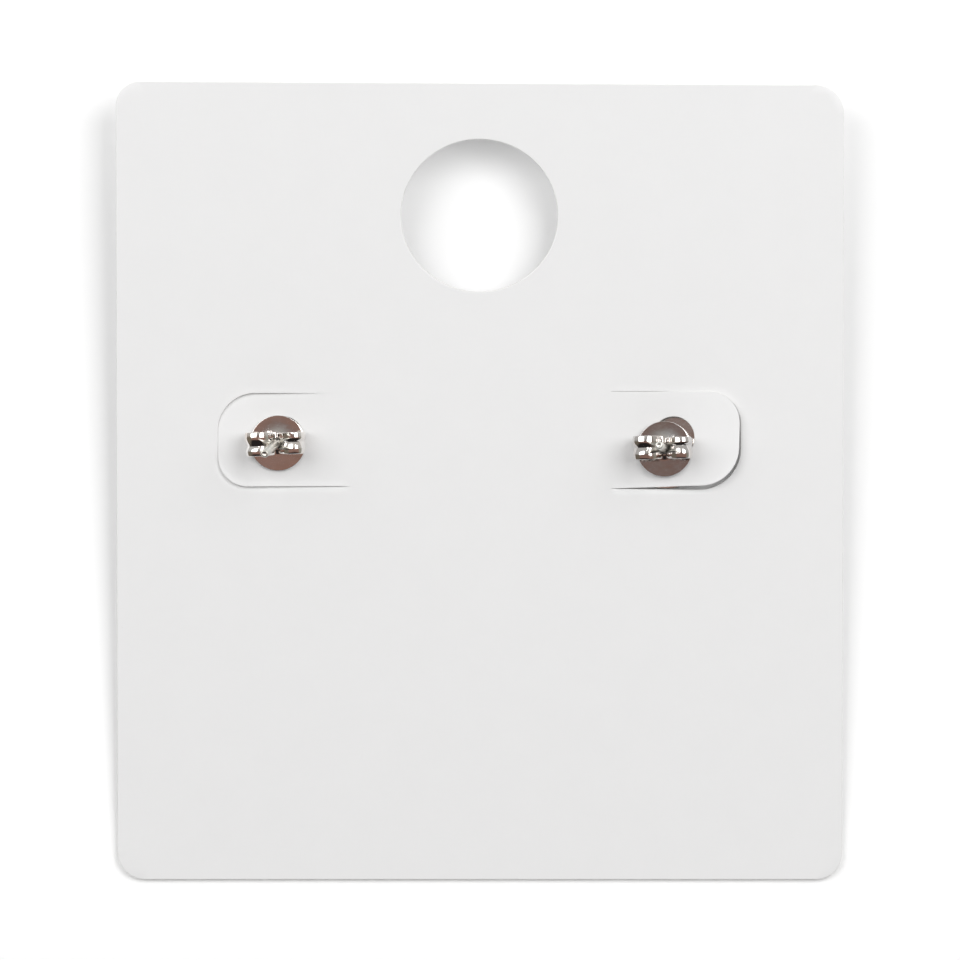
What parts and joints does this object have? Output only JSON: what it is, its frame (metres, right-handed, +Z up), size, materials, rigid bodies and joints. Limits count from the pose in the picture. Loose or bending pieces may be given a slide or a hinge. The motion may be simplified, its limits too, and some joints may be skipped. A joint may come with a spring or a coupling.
{
  "type": "stud earrings on display card",
  "caption": "Round-headed stud earrings held through the punched tabs of a flat white hanging display card, each post fastened by a rolled butterfly clutch.",
  "frame": {"origin": "middle of the bounding box at its base, on the surface that the card's bottom edge and the two stud heads rest on", "axes": "+Z up out of the card's back face, +Y towards the hang hole, +X towards the tab that is bent up"},
  "size_m": [0.06, 0.066, 0.0115],
  "materials": {
    "white_card": "smooth uncoated white",
    "stud_metal": "polished silver plate",
    "clutch_metal": "stamped and polished silver plate"
  },
  "bodies": {
    "carded_studs": {"display_card": "white_card", "stud_left": "stud_metal", "stud_right": "stud_metal"},
    "left_clutch": {"clutch_left": "clutch_metal"},
    "right_clutch": {"clutch_right": "clutch_metal"}
  },
  "joints": [
    {"name": "left_clutch_slide", "type": "slide", "parent": "carded_studs", "child": "left_clutch", "axis": [-0.1109, -0.1078, 0.988], "range_m": [0, 0.012]},
    {"name": "right_clutch_slide", "type": "slide", "parent": "carded_studs", "child": "right_clutch", "axis": [-0.0718, 0.0339, 0.9968], "range_m": [0, 0.012]}
  ]
}
